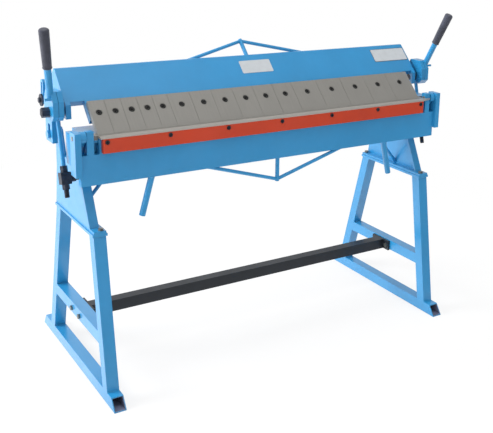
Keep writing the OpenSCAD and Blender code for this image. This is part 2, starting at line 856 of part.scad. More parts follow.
module beam_truss_post() {
    color(blue)
        difference() {
            rod(truss_at(0, -truss_d), truss_at(0, beam_truss_rise + truss_d / 2), truss_post_d);
            translate([-truss_d, beam_back - 3 * truss_d, beam_top[1] - beam_truss_low - 3 * truss_d])
                cube([2 * truss_d, 3 * truss_d, 6 * truss_d]);
        }
}

// Straight band of width w from a to b
module band(a, b, w) {
    n = [a[1] - b[1], b[0] - a[0]] / norm(b - a) * w / 2;
    polygon([a - n, b - n, b + n, a + n]);
}

// Slotted bar that stands up from an end plate's rear corner
module slot_bar() {
    run = [-slot_bar_lean, slot_bar_rise];
    top = slot_bar_foot + run;
    slot_foot = slot_bar_foot + 0.42 * run;
    difference() {
        union() {
            x_cylinder(arm_out, slot_bar_out, slot_bar_foot, slot_bar_w);
            x_cylinder(arm_out, slot_bar_out, top, slot_bar_w);
            along_x(arm_out, slot_bar_out) band(slot_bar_foot, top, slot_bar_w);
        }
        x_cylinder(arm_out - past, slot_bar_out + past, slot_bar_foot, bolt_d + 2 * bolt_gap);
        x_cylinder(arm_out - past, slot_bar_out + past, slot_foot, slot_w);
        x_cylinder(arm_out - past, slot_bar_out + past, top, slot_w);
        along_x(arm_out - past, slot_bar_out + past) band(slot_foot, top, slot_w);
    }
}

module slot_bar_bolt() {
    washer_out = slot_bar_out + washer_t;
    x_cylinder(arm_in, washer_out, slot_bar_foot, bolt_d);
    x_cylinder(slot_bar_out, washer_out, slot_bar_foot, washer_d);
    x_hexagon(washer_out - washer_t / 2, washer_out + bolt_head_h, slot_bar_foot, bolt_head_af);
}

// Clamp levers

// Side view of a strap and of a hub: cut lower corners and steep shoulders around the shaft
module hub_profile() {
    translate(shaft)
        polygon([
            [-hub_half, hub_cut - hub_low], [hub_cut - hub_half, -hub_low],
            [hub_half - hub_cut, -hub_low], [hub_half, hub_cut - hub_low],
            [hub_half, hub_shoulder], [hub_half - hub_slant, hub_high],
            [hub_slant - hub_half, hub_high], [-hub_half, hub_shoulder]
        ]);
}

// Places its children on a lever's line, with Z along it
module on_lever(lean) {
    translate([hub_mid, shaft[0], shaft[1]]) rotate([lean, 0, 0]) rotate([0, lever_splay, 0]) children();
}

module lever(lean) {
    bar_from = hub_high - lever_d;
    bar_end = grip_from + grip_len - grip_round - 2 * sink;
    difference() {
        union() {
            along_x(hub_in, hub_out) hub_profile();
            on_lever(lean) translate([0, 0, bar_from]) cylinder(d = lever_d, h = bar_end - bar_from);
            x_cylinder(hub_out - sink, hub_out + hub_pin_len, hub_pin, hub_pin_d);
        }
        x_cylinder(hub_in - past, hub_out + past, shaft, shaft_d + 2 * bolt_gap);
        translate([hub_in - tube, shaft[0] - hub_half, shaft[1] - hub_low])
            cube([tube, 2 * hub_half, hub_low + 2 * hub_high]);
    }
}

module grip(lean) {
    r = grip_d / 2;
    shoulder = grip_len - grip_round;
    on_lever(lean) translate([0, 0, grip_from]) rotate_extrude()
        difference() {
            union() {
                polygon([
                    [0, 0], [r - grip_bevel, 0], [r, grip_bevel], [r, shoulder],
                    [r - grip_round, grip_len], [0, grip_len]
                ]);
                intersection() {
                    translate([r - grip_round, shoulder]) circle(r = grip_round);
                    translate([0, shoulder]) square([grip_d, grip_round]);
                }
            }
            translate([-past, -past]) square([past + lever_d / 2 + bolt_gap, past + shoulder - sink]);
            translate([-grip_d, -past]) square([grip_d, grip_len + 2 * past]);
        }
}

module lever_shaft() {
    x_cylinder(arm_in, hub_out, shaft, shaft_d);
    x_cylinder(strap_in, strap_out, ecc, ecc_d);
    x_cylinder(hub_out - sink, hub_out + 2 * nut_h + 1, shaft, stud_d);
}

module shaft_nuts() {
    for (i = [0, 1])
        difference() {
            x_hexagon(hub_out + (i + 0.01) * nut_h, hub_out + (i + 1) * nut_h, shaft, nut_af);
            x_cylinder(hub_out - past, hub_out + 2 * nut_h + past, shaft, stud_d + 2 * bolt_gap);
        }
}

// Clamp links

// Places its children at a trunnion, with Z along the link rod
module on_link() {
    translate([link_x, trunnion[0], trunnion[1]]) rotate([link_tilt, 0, 0]) children();
}

module link_rod() {
    reach = link_len - ecc_d / 2 - strap_gap - sink;
    difference() {
        union() {
            along_x(strap_in, strap_out) hub_profile();
            on_link() translate([0, 0, -link_tail]) cylinder(d = link_d, h = link_tail + reach);
        }
        x_cylinder(strap_in - past, strap_out + past, ecc, ecc_d + 2 * strap_gap);
    }
}

// Block with a stepped pin that turns in the side frame
module trunnion_block() {
    block_in = link_x - trunnion_w / 2;
    step_x = (frame_out + block_in) / 2;
    difference() {
        union() {
            on_link() translate([-trunnion_w / 2, -trunnion_w / 2, -trunnion_h / 2])
                cube([trunnion_w, trunnion_w, trunnion_h]);
            x_cylinder(frame_in + collar_gap, block_in + sink, trunnion, trunnion_pin_d);
            x_cylinder(frame_out + collar_gap, block_in + sink, trunnion, collar_d);
            x_cylinder(step_x, block_in + sink, trunnion, collar_big_d);
        }
        on_link() translate([0, 0, -trunnion_h]) cylinder(d = link_d + 2 * bolt_gap, h = 2 * trunnion_h);
    }
}

module link_nut(h) {
    difference() {
        cylinder(d = 1.5 * link_d / cos(30), h = h, $fn = 6);
        translate([0, 0, -past]) cylinder(d = link_d + 2 * bolt_gap, h = h + 2 * past);
    }
}

module link_nuts() {
    on_link() {
        translate([0, 0, trunnion_h / 2]) link_nut(upper_nut_h);
        translate([0, 0, -trunnion_h / 2 - lower_nut_h]) link_nut(lower_nut_h);
    }
}

// Apron

// Point near the fold line, y behind it and z above it
function fold(y, z) = [fold_y + y, bed_z + z];

// Rectangle in Y and Z near the fold line
module fold_box(y0, z0, y1, z1) {
    polygon([fold(y0, z0), fold(y1, z0), fold(y1, z1), fold(y0, z1)]);
}

module apron() {
    front = -apron_front;
    back = apron_t - apron_front;
    lip_low = -bed_top_t - lip_drop;
    root = -shoulder_drop - sink;
    color(blue)
        difference() {
            union() {
                along_x(-apron_half, apron_half) fold_box(front, -apron_drop, back, -shoulder_drop);
                along_x(-lip_half, lip_half)
                    polygon([
                        fold(front, root), fold(front, edge_bar_top), fold(-edge_gap, edge_bar_top),
                        fold(-edge_gap, lip_low), fold(back, lip_low - back - edge_gap), fold(back, root)
                    ]);
                for (s = [-1, 1]) side(s)
                    along_x(cheek_in, cheek_out) fold_box(front, root, back, hinge_top);
            }
            for (s = [-1, 1]) side(s)
                x_cylinder(cheek_in - past, cheek_out + past, [fold_y, bed_z], hinge_pin_d + 2 * run_gap);
            at_edge_screws() translate([0, 0, -apron_t])
                cylinder(d = edge_bolt_d + 2 * bolt_gap, h = 2 * apron_t);
        }
}

// Places its children on the apron's front face at the edge bar's screws, with Z to the front
module at_edge_screws() {
    first = edge_screw_inset - edge_bar_half;
    pitch = -2 * first / (edge_screw_n - 1);
    z = bed_z + edge_bar_top - edge_screw_low;
    for (i = [0 : edge_screw_n - 1])
        translate([first + i * pitch, fold_y - apron_front, z]) rotate([90, 0, 0]) children();
}

module edge_bar() {
    front = -apron_front - edge_bar_t;
    color(orange)
        difference() {
            along_x(-edge_bar_half, edge_bar_half)
                fold_box(front, edge_bar_top - edge_bar_h, -apron_front, edge_bar_top);
            at_edge_screws() {
                translate([0, 0, -past])
                    cylinder(d = edge_bolt_d + 2 * bolt_gap, h = edge_bar_t + 2 * past);
                translate([0, 0, edge_bar_t - edge_screw_sink])
                    cylinder(d = edge_screw_d + 1, h = edge_bar_t);
            }
        }
}

module edge_bar_screws() {
    seat = edge_bar_t - edge_screw_sink;
    color(black)
        at_edge_screws()
            difference() {
                union() {
                    translate([0, 0, sink - apron_front])
                        cylinder(d = edge_bolt_d, h = seat + apron_front);
                    translate([0, 0, seat]) cylinder(d = edge_screw_d, h = edge_screw_h);
                }
                translate([0, 0, seat + edge_screw_h / 2])
                    cylinder(d = 0.55 * edge_screw_d, h = edge_screw_h, $fn = 6);
            }
}

// Bare steel strip on the edge bar and the apron's lip, notched around the right hinge cheek
module bending_blade() {
    low = edge_bar_top;
    top = low + blade_t;
    front = -apron_front - edge_bar_t;
    color(steel)
        difference() {
            along_x(-edge_bar_half - blade_left, edge_bar_half + blade_right)
                polygon([
                    fold(-edge_gap, low), fold(-edge_gap, top), fold(front + blade_bevel, top),
                    fold(front, low + past), fold(front, low)
                ]);
            translate([cheek_in - past, fold_y - apron_front - collar_gap, bed_z + low - past])
                cube([cheek_t + 2 * past, 2 * apron_front, blade_t + 2 * past]);
            translate([edge_bar_half, fold_y, bed_z + low - past])
                linear_extrude(blade_t + 2 * past)
                    polygon([
                        [0, front - past], [0, front], [blade_right, -apron_front - blade_tip],
                        [blade_right + past, -apron_front - blade_tip], [blade_right + past, front - past]
                    ]);
        }
}

module hinge_arm() {
    difference() {
        along_x(apron_half, hinge_arm_out)
            fold_box(-hinge_arm_front, -hinge_arm_drop, hinge_arm_back, hinge_top);
        x_cylinder(apron_half - past, hinge_arm_out + past, [fold_y, bed_z], hinge_pin_d + 2 * run_gap);
    }
}

module hinge_pin() {
    x_cylinder(cheek_in, hinge_arm_out + 1, [fold_y, bed_z], hinge_pin_d);
}

module handle_bar() {
    top = [handle_x, apron_mid, apron_low];
    end = top + handle_reach * [tan(handle_splay), -tan(handle_lean), -1];
    difference() {
        rod(top + (top - end) / norm(top - end) * handle_d, end, handle_d);
        translate([handle_x - 2 * handle_d, apron_mid - 2 * handle_d, apron_low])
            cube(4 * handle_d);
    }
}

module apron_truss_rod() {
    apex = [0, apron_mid, apron_low - apron_truss_drop];
    foot = [apron_truss_half, apron_mid, apron_low];
    end = foot + (foot - apex) / norm(foot - apex) * 4 * truss_d;
    difference() {
        rod(apex, end, truss_d);
        translate([0, apron_mid - truss_d, apron_low])
            cube([2 * apron_truss_half, 2 * truss_d, 6 * truss_d]);
        translate([-2 * truss_d, apron_mid - truss_d, apex[2] - 2 * truss_d])
            cube([2 * truss_d, 2 * truss_d, 4 * truss_d]);
        translate([0, apron_mid, apex[2] - truss_d]) cylinder(d = truss_post_d, h = 3 * truss_d);
    }
}

module apron_truss_post() {
    color(blue)
        translate([0, apron_mid, apron_low - apron_truss_drop - truss_d / 2])
            cylinder(d = truss_post_d, h = apron_truss_drop + truss_d / 2);
}

color(blue) side(-1) foot_rail();  // left_foot_rail
color(blue) side(1) foot_rail();  // right_foot_rail
color(blue) side(-1) leg(-front_leg_low, -front_leg_high);  // left_front_leg
color(blue) side(1) leg(-front_leg_low, -front_leg_high);  // right_front_leg
color(blue) side(-1) leg(rear_leg_low, rear_leg_high);  // left_rear_leg
color(blue) side(1) leg(rear_leg_low, rear_leg_high);  // right_rear_leg
color(blue) side(-1) mid_rail();  // left_mid_rail
color(blue) side(1) mid_rail();  // right_mid_rail
color(blue) side(-1) stand_plate();  // left_stand_plate
color(blue) side(1) stand_plate();  // right_stand_plate
color(black) {  // stretcher
    stretcher_tube_solid();
    for (s = [-1, 1]) side(s) stretcher_flange();
}
color(black) for (s = [-1, 1]) side(s) frame_bolt_set();  // frame_bolts
color(blue) side(-1) side_frame();  // left_side_frame
color(blue) side(1) side_frame();  // right_side_frame
bed();
color(blue) side(-1) hinge_block();  // left_hinge_block
color(blue) side(1) hinge_block();  // right_hinge_block
color(blue) side(-1) brace();  // left_brace
color(blue) side(1) brace();  // right_brace
color(blue) for (s = [-1, 1]) side(s) rear_pivot_pin();  // rear_pivot_pins
clamp_beam();
color(blue) side(-1) beam_plate();  // left_beam_plate
color(blue) side(1) beam_plate();  // right_beam_plate
finger_seat_bar();
fingers(narrow_middles, narrow_w);  // narrow_fingers
fingers(medium_middles, medium_w);  // medium_fingers
fingers(wide_middles, wide_w);  // wide_fingers
color(black) for (x = concat(narrow_middles, medium_middles, wide_middles)) finger_screw(x);  // finger_screws
color(blue) side(-1) beam_truss_rod();  // beam_truss_left_rod
color(blue) side(1) beam_truss_rod();  // beam_truss_right_rod
beam_truss_post();
color(blue) for (s = [-1, 1]) side(s) slot_bar();  // slot_bars
color(black) for (s = [-1, 1]) side(s) slot_bar_bolt();  // slot_bar_bolts
color(blue) side(-1) lever(left_lever_lean);  // left_lever
color(blue) side(1) lever(right_lever_lean);  // right_lever
color(grip_grey) side(-1) grip(left_lever_lean);  // left_grip
color(grip_grey) side(1) grip(right_lever_lean);  // right_grip
color(black) side(-1) lever_shaft();  // left_lever_shaft
color(black) side(1) lever_shaft();  // right_lever_shaft
color(black) side(-1) shaft_nuts();  // left_shaft_nuts
color(black) side(1) shaft_nuts();  // right_shaft_nuts
color(blue) side(-1) link_rod();  // left_link_rod
color(blue) side(1) link_rod();  // right_link_rod
color(black) side(-1) trunnion_block();  // left_trunnion
color(black) side(1) trunnion_block();  // right_trunnion
color(black) side(-1) link_nuts();  // left_link_nuts
color(black) side(1) link_nuts();  // right_link_nuts
apron();
edge_bar();
edge_bar_screws();
bending_blade();
color(blue) side(-1) hinge_arm();  // left_hinge_arm
color(blue) side(1) hinge_arm();  // right_hinge_arm
color(steel) for (s = [-1, 1]) side(s) hinge_pin();  // hinge_pins
color(blue) side(-1) handle_bar();  // left_handle_bar
color(blue) side(1) handle_bar();  // right_handle_bar
color(blue) side(-1) apron_truss_rod();  // apron_truss_left_rod
color(blue) side(1) apron_truss_rod();  // apron_truss_right_rod
apron_truss_post();
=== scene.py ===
import json
import math

import bmesh
import bpy
from mathutils import Matrix, Vector


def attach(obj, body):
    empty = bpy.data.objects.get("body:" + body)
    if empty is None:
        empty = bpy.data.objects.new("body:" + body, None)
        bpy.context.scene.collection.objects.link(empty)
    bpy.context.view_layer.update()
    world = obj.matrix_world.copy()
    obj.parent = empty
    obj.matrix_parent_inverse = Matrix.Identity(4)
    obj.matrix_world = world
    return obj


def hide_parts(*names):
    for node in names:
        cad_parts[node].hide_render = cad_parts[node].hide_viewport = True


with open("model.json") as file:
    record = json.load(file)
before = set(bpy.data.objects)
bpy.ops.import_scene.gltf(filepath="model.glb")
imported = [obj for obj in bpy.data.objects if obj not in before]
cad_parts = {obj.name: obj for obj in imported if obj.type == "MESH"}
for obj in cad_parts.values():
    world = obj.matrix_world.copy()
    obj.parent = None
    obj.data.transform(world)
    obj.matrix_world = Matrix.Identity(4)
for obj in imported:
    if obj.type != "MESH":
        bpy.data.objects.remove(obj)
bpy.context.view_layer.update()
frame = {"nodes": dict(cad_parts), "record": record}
nodes = frame["nodes"]
scene = bpy.context.scene
scene.view_settings.view_transform = "Standard"


# Shader nodes

WHITE = (1.0, 1.0, 1.0, 1.0)
# Rays of the edge mask, and the cosine between the two normals at which it is full
EDGE_RAYS = 6
EDGE_FULL = 0.72
# Sockets of the Mix node in its colour mode
MIX_A = 6
MIX_B = 7
MIX_RESULT = 2


def rgba(value):
    """Four numbers from a colour or from one grey level."""
    if isinstance(value, float):
        value = (value, value, value)
    return (*value, 1.0)


def shade(color, times):
    return tuple(min(1.0, channel * times) for channel in color)


class Nodes:
    """Adds nodes to a material or a world and links them."""

    def __init__(self, owner):
        owner.use_nodes = True
        self.owner = owner
        self.tree = owner.node_tree
        self.surface = self.tree.nodes.get("Principled BSDF")

    def put(self, node, inputs):
        """Sets each input to a value, or links it to another node's output."""
        for key, value in inputs.items():
            if isinstance(value, bpy.types.NodeSocket):
                self.tree.links.new(value, node.inputs[key])
            else:
                node.inputs[key].default_value = value

    def add(self, kind, inputs, **settings):
        node = self.tree.nodes.new("ShaderNode" + kind)
        for key, value in settings.items():
            setattr(node, key, value)
        self.put(node, inputs)
        return node

    def calc(self, operation, *values):
        return self.add("Math", dict(enumerate(values)), operation=operation).outputs[0]

    def span(self, value, start, end, low=0.0, high=1.0):
        """Goes from low to high while value goes from start to end."""
        limits = {"From Min": start, "From Max": end, "To Min": low, "To Max": high}
        return self.add("MapRange", {"Value": value, **limits}).outputs["Result"]

    def noise(self, scale, detail=3.0, stretch=(1, 1, 1)):
        coord = self.add("TexCoord", {}).outputs["Object"]
        mapped = self.add("Mapping", {"Vector": coord, "Scale": stretch}).outputs["Vector"]
        return self.add("TexNoise", {"Vector": mapped, "Scale": scale, "Detail": detail}).outputs["Fac"]

    def ramp(self, fac, low, high, at=(0.3, 0.7)):
        node = self.add("ValToRGB", {"Fac": fac})
        first, last = node.color_ramp.elements
        first.position, last.position = at
        first.color = rgba(low)
        last.color = rgba(high)
        return node.outputs["Color"]

    def tones(self, color, low, high, **noise):
        """The colour, from low to high times as bright by a noise."""
        return self.ramp(self.noise(**noise), shade(color, low), shade(color, high))

    def gloss(self, rough, scale, less=0.05, more=0.07):
        """Roughness that a noise moves from less below rough to more above it."""
        return self.ramp(self.noise(scale), rough - less, rough + more)

    def mix(self, fac, a, b, blend="MIX"):
        node = self.add("Mix", {"Factor": fac}, data_type="RGBA", blend_type=blend)
        for key, value in ((MIX_A, a), (MIX_B, b)):
            self.put(node, {key: rgba(value) if isinstance(value, tuple) else value})
        return node.outputs[MIX_RESULT]

    def edge(self, radius):
        """The bevelled normal, and a mask that is 1 on sharp edges and 0 on flat faces."""
        bevelled = self.add("Bevel", {"Radius": radius}, samples=EDGE_RAYS).outputs["Normal"]
        plain = self.add("NewGeometry", {}).outputs["Normal"]
        cosine = self.add("VectorMath", {0: bevelled, 1: plain}, operation="DOT_PRODUCT").outputs["Value"]
        return bevelled, self.span(cosine, 1.0, EDGE_FULL)

    def bump(self, height, strength, distance, normal=None):
        inputs = {"Height": height, "Strength": strength, "Distance": distance}
        if normal is not None:
            inputs["Normal"] = normal
        return self.add("Bump", inputs).outputs["Normal"]

    def inside(self, low, high):
        """1 inside the box from low to high, in metres and with |X| for X, and 0 outside."""
        coord = self.add("TexCoord", {}).outputs["Object"]
        x, y, z = self.add("SeparateXYZ", {0: coord}).outputs
        result = None
        for value, least, most in zip((self.calc("ABSOLUTE", x), y, z), low, high):
            for test, limit in (("GREATER_THAN", least), ("LESS_THAN", most)):
                step = self.calc(test, value, limit)
                result = step if result is None else self.calc("MULTIPLY", result, step)
        return result

    def lit(self, kind, strength):
        """A white Background or Emission shader."""
        return self.add(kind, {"Color": WHITE, "Strength": strength}).outputs[0]

    def choose(self, fac, a, b):
        """Shader a where fac is 0, and shader b where it is 1."""
        return self.add("MixShader", {0: fac, 1: a, 2: b}).outputs[0]


# Materials

COAT_ROUGHNESS = 0.24
OXIDE_METAL = 0.6
RUBBER_SHEEN = 0.15
# Radius of the edge masks, in metres
PAINT_EDGE = 0.0012
OXIDE_EDGE = 0.0007
# How far enamel goes towards a paler shade where it is thin
THIN_SHARE = 0.22


def paint(name, color, rough=0.36, coat=1.0):
    """Sprayed enamel: slow colour drift, specks of dust, orange peel, thin paint along the edges."""
    n = Nodes(bpy.data.materials.new(name))
    normal, edge = n.edge(PAINT_EDGE)
    drift = n.tones(color, low=0.94, high=1.06, scale=5.0)
    specks = n.ramp(n.noise(scale=38.0, detail=6.0), 0.0, 0.10, at=(0.5, 0.8))
    dusty = n.mix(specks, drift, shade(color, times=1.35))
    thin = n.mix(THIN_SHARE, dusty, shade(color, times=1.9))
    peel = n.noise(scale=420.0, detail=1.5)
    n.put(n.surface, {
        "Base Color": n.mix(edge, dusty, thin),
        "Roughness": n.gloss(rough, scale=17.0),
        "Coat Weight": coat,
        "Coat Roughness": COAT_ROUGHNESS,
        "Normal": n.bump(peel, strength=0.035, distance=0.0005, normal=normal),
    })
    return n.owner


def part_painted(name, color, bare, low, high, metal=0.0):
    """Enamel that leaves the box from low to high without its coat, in the colour bare: bare steel on the
    bed, a painted shade in the foot rails' hollow.
    """
    n = Nodes(paint(name, color))
    mask = n.inside(low, high)
    painted = n.surface.inputs["Base Color"].links[0].from_socket
    grain = n.tones(bare, low=0.93, high=1.06, scale=60.0, stretch=(1, 8, 8))
    n.put(n.surface, {"Base Color": n.mix(mask, painted, grain)})
    for socket, change in (("Metallic", metal), ("Coat Weight", -1.0)):
        if change:
            usual = n.surface.inputs[socket].default_value
            n.put(n.surface, {socket: n.calc("MULTIPLY_ADD", mask, change, usual)})
    return n.owner


def ground_steel(name, color, stretch, rough=0.42, spread=0.07, metal=0.6, rim=0.5, seam=0.0010):
    """Ground bare steel: fine grinding lines, faint stains, and edges made duller or brighter by rim; on
    the bending blade the bright edges are a painted highlight.
    """
    n = Nodes(bpy.data.materials.new(name))
    normal, edge = n.edge(seam)
    lines = n.noise(scale=1.0, detail=4.0, stretch=stretch)
    body = n.ramp(lines, shade(color, 1 - spread), shade(color, 1 + spread))
    # Each loose piece of a node is a little lighter or darker than the next
    island = n.add("NewGeometry", {}).outputs["Random Per Island"]
    uneven = n.mix(1.0, body, n.ramp(island, 0.985, 1.01, at=(0.0, 1.0)), "MULTIPLY")
    stains = n.ramp(n.noise(scale=9.0, detail=5.0), 0.0, 0.30, at=(0.52, 0.75))
    stained = n.mix(stains, uneven, shade(color, times=0.86))
    n.put(n.surface, {
        "Base Color": n.mix(edge, stained, shade(color, rim)),
        "Metallic": metal,
        "Roughness": n.gloss(rough, scale=24.0),
        "Normal": n.bump(lines, strength=0.10, distance=0.0003, normal=normal),
    })
    return n.owner


def black_oxide(name, color=(0.052, 0.058, 0.078), rough=0.42, rub_and_highlight=(0.15, 0.155, 0.165)):
    """Blackened steel of screws and nuts: mottled, with lighter corners: rubbed wear by default, and a
    painted highlight on the finger screws.
    """
    n = Nodes(bpy.data.materials.new(name))
    normal, edge = n.edge(OXIDE_EDGE)
    mottled = n.tones(color, low=0.8, high=1.5, scale=90.0, detail=4.0)
    n.put(n.surface, {
        "Base Color": n.mix(edge, mottled, rub_and_highlight),
        "Metallic": OXIDE_METAL,
        "Roughness": n.gloss(rough, scale=60.0, less=0.08, more=0.10),
        "Normal": n.bump(n.noise(scale=700.0), strength=0.08, distance=0.0003, normal=normal),
    })
    return n.owner


def rubber(name, color=(0.042, 0.045, 0.064)):
    """Moulded grip rubber: fine pebbled skin with a dusty bloom."""
    n = Nodes(bpy.data.materials.new(name))
    n.put(n.surface, {
        "Base Color": n.tones(color, low=0.85, high=1.45, scale=30.0, detail=5.0),
        "Roughness": n.gloss(rough=0.55, scale=50.0, less=0.07, more=0.07),
        "Sheen Weight": RUBBER_SHEEN,
        "Normal": n.bump(n.noise(scale=1100.0, detail=2.0), strength=0.25, distance=0.0003),
    })
    return n.owner


def vinyl(name, color):
    """Bare label stock: faint paper grain under a smooth film."""
    n = Nodes(bpy.data.materials.new(name))
    n.put(n.surface, {
        "Base Color": n.tones(color, low=0.95, high=1.03, scale=60.0, detail=5.0),
        "Roughness": n.gloss(rough=0.34, scale=25.0, less=0.06, more=0.06),
        "Normal": n.bump(n.noise(scale=600.0), strength=0.05, distance=0.0002),
    })
    return n.owner


BLUE = (0.023, 0.256, 0.535)
ORANGE = (0.51, 0.041, 0.009)
BLACK = (0.016, 0.020, 0.027)
STEEL = (0.425, 0.413, 0.385)
# The bending blade's steel is a little paler than the fingers': part steel colour, part painted highlight
# of its lit front edge
BLADE_STEEL_AND_HIGHLIGHT = (0.54, 0.515, 0.48)
PIN_STEEL = (0.40, 0.40, 0.39)
ZINC = (0.26, 0.27, 0.26)
# Dark blue-grey inside the foot rails: painted shade of the tube's hollow
HOLLOW_SHADE = (0.155, 0.175, 0.270)
SCREW_BLACK = (0.054, 0.054, 0.054)
# Pale corners of the finger screws: a painted highlight on their heads
SCREW_HIGHLIGHT = (0.42, 0.42, 0.41)
PLATE_PALE = (0.50, 0.53, 0.555)
PLATE_RIM = (0.10, 0.13, 0.16)
# Scale of each steel's noise along X, Y and Z, which draws its grinding lines
FINGER_LINES = (420, 5, 5)
BLADE_LINES = (6, 500, 500)
PIN_LINES = (6, 300, 300)
ZINC_GRAIN = (60, 60, 60)
# Boxes without enamel, in metres: the hollow of a foot rail and the front strip of the bed's top
HOLLOW = ((0.6086, -0.4, 0.0026), (0.6414, 0.4, 0.0354))
BED_STRIP = ((0.0, -0.25, 0.797), (0.7, -0.160, 0.82))

mats = {
    "blue_paint": paint("blue_enamel", BLUE),
    "orange_paint": paint("orange_enamel", ORANGE, rough=0.42, coat=0.2),
    "black_paint": paint("black_enamel", BLACK, rough=0.40, coat=0.1),
    "bare_steel": ground_steel("ground_steel", STEEL, FINGER_LINES, spread=0.035, rim=0.95, seam=0.0001),
    "black_steel": black_oxide("black_oxide"),
    "grip_rubber": rubber("grip_rubber"),
}
# The inside of the foot rails has no coat and a dark blue-grey colour: painted shade of the tube's dark
# hollow
foot_paint = part_painted("foot_enamel", BLUE, HOLLOW_SHADE, *HOLLOW)
# Pieces whose finish differs from the others in their slot
finishes = {
    # rim=1.6 brightens the blade's edges: a painted highlight along its lit front edge
    "bending_blade": ground_steel("blade_steel_painted_highlight", BLADE_STEEL_AND_HIGHLIGHT, BLADE_LINES, rough=0.34, rim=1.6),
    "frame_bolts": ground_steel("zinc_plate", ZINC, ZINC_GRAIN, rough=0.36, metal=0.8, rim=1.7),
    "hinge_pins": ground_steel("pin_steel", PIN_STEEL, PIN_LINES, rough=0.32, metal=0.8, rim=1.2),
    "bed": part_painted("bed_enamel", BLUE, STEEL, *BED_STRIP, metal=0.6),
    "left_foot_rail": foot_paint,
    "right_foot_rail": foot_paint,
    "finger_screws": black_oxide("screw_black", SCREW_BLACK, rough=0.34, rub_and_highlight=SCREW_HIGHLIGHT),
}
plate_pale = vinyl("bare_label", PLATE_PALE)
plate_rim = vinyl("label_rim", PLATE_RIM)

slots = {entry["node"]: entry["material_slot"] for entry in frame["record"]["subparts"]}
for name, obj in nodes.items():
    mat = finishes.get(name, mats[slots[name]])
    if not obj.material_slots:
        obj.data.materials.append(mat)
    for slot in obj.material_slots:
        slot.material = mat


# Mesh helpers

def finish_mesh(name, bm, mat, body, smooth=True):
    """Makes a piece of the mesh that rides on a body."""
    bmesh.ops.recalc_face_normals(bm, faces=bm.faces)
    mesh = bpy.data.meshes.new(name)
    bm.to_mesh(mesh)
    bm.free()
    if smooth:
        for poly in mesh.polygons:
            poly.use_smooth = True
    obj = bpy.data.objects.new(name, mesh)
    scene.collection.objects.link(obj)
    obj.data.materials.append(mat)
    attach(obj, body)
    return obj


def skin(bm, rings, closed=False):
    """Faces from ring to ring. Both ends get a cap, unless the last ring joins the first."""
    count = len(rings[0])
    following = rings[1:] + rings[:1] if closed else rings[1:]
    for low, high in zip(rings, following):
        for i in range(count):
            j = (i + 1) % count
            bm.faces.new((low[i], low[j], high[j], high[i]))
    if not closed:
        bm.faces.new(list(reversed(rings[0])))
        bm.faces.new(rings[-1])


def circle(steps):
    return [2 * math.pi * i / steps for i in range(steps)]


def along(start, end):
    """Matrix with Z from start towards end."""
    return Matrix.Translation(start) @ (end - start).to_track_quat("Z", "Y").to_matrix().to_4x4()


def lathe(bm, profile, matrix, steps=48):
    """Turns (radius, height) points about Z and closes both ends."""
    rings = []
    for r, h in profile:
        rings.append([bm.verts.new(matrix @ Vector((r * math.cos(a), r * math.sin(a), h)))
                      for a in circle(steps)])
    skin(bm, rings)


def threaded(bm, minor, major, length, pitch, matrix, steps=28, rings_per_turn=10):
    """A screw thread along Z from the origin, run out at both ends and closed."""
    count = int(rings_per_turn * length / pitch)
    rings = []
    for k in range(count + 1):
        z = length * k / count
        fade = min(1.0, z / pitch, (length - z) / pitch)
        ring = []
        for i in range(steps):
            turn = i / steps
            crest = 1 - abs(2 * ((z / pitch - turn) % 1.0) - 1)
            r = minor + (major - minor) * fade * crest
            a = 2 * math.pi * turn
            ring.append(bm.verts.new(matrix @ Vector((r * math.cos(a), r * math.sin(a), z))))
        rings.append(ring)
    skin(bm, rings)


# Grips and link threads. All places and sizes are in metres, as in the CAD model.

SIDES = (("left", -1), ("right", 1))
HUB_X = 0.706
LINK_X = 0.68925
# Y and Z of the lever shaft, the strap's centre and the trunnion
SHAFT = (-0.070, 0.866)
STRAP = (-0.06617, 0.86921)
TRUNNION = (-0.116, 0.673)
LEANS = {"left": math.radians(17.6), "right": math.radians(24)}
SPLAY = math.radians(7.5)

# A grip starts at GRIP_FROM along its lever. Heights below are from its mouth.
GRIP_FROM = 0.146
GRIP_LEN = 0.123
GRIP_BORE_R = 0.0112
GRIP_LOW_R = 0.0130
GRIP_HIGH_R = 0.0150
MOUTH_R = GRIP_LOW_R + 0.0003
LIP_R = GRIP_LOW_R + 0.0009
LIP_FROM = 0.0008
LIP_TO = 0.0030
TAPER_FROM = 0.0045
TAPER_POWER = 0.8
TAPER_STEPS = 8
# Radius of the rounded end, its steps, and the rings that close it
ROUND_R = 0.006
ROUND_STEPS = 6
END_RINGS = (0.75, 0.5, 0.25, 0.06)

# The blackened thread runs from the lower nut to the end of the link rod, below the trunnion
THREAD_FROM = 0.0335
THREAD_TO = 0.0583
THREAD_PITCH = 0.002
THREAD_MINOR = 0.0067
THREAD_MAJOR = 0.0079


def grip_profile():
    """Radius and height of a grip: a lip at the mouth, a slow taper and a rounded end."""
    profile = [(GRIP_BORE_R, 0.0), (MOUTH_R, 0.0), (LIP_R, LIP_FROM), (LIP_R, LIP_TO),
               (GRIP_LOW_R, TAPER_FROM)]
    for k in range(1, TAPER_STEPS + 1):
        part = k / TAPER_STEPS
        profile.append((GRIP_LOW_R + (GRIP_HIGH_R - GRIP_LOW_R) * part ** TAPER_POWER,
                        TAPER_FROM + (GRIP_LEN - ROUND_R - TAPER_FROM) * part))
    for k in range(1, ROUND_STEPS + 1):
        turn = math.radians(90 * k / ROUND_STEPS)
        profile.append((GRIP_HIGH_R - ROUND_R * (1 - math.cos(turn)),
                        GRIP_LEN - ROUND_R * (1 - math.sin(turn))))
    for part in END_RINGS:
        profile.append(((GRIP_HIGH_R - ROUND_R) * part, GRIP_LEN))
    return profile


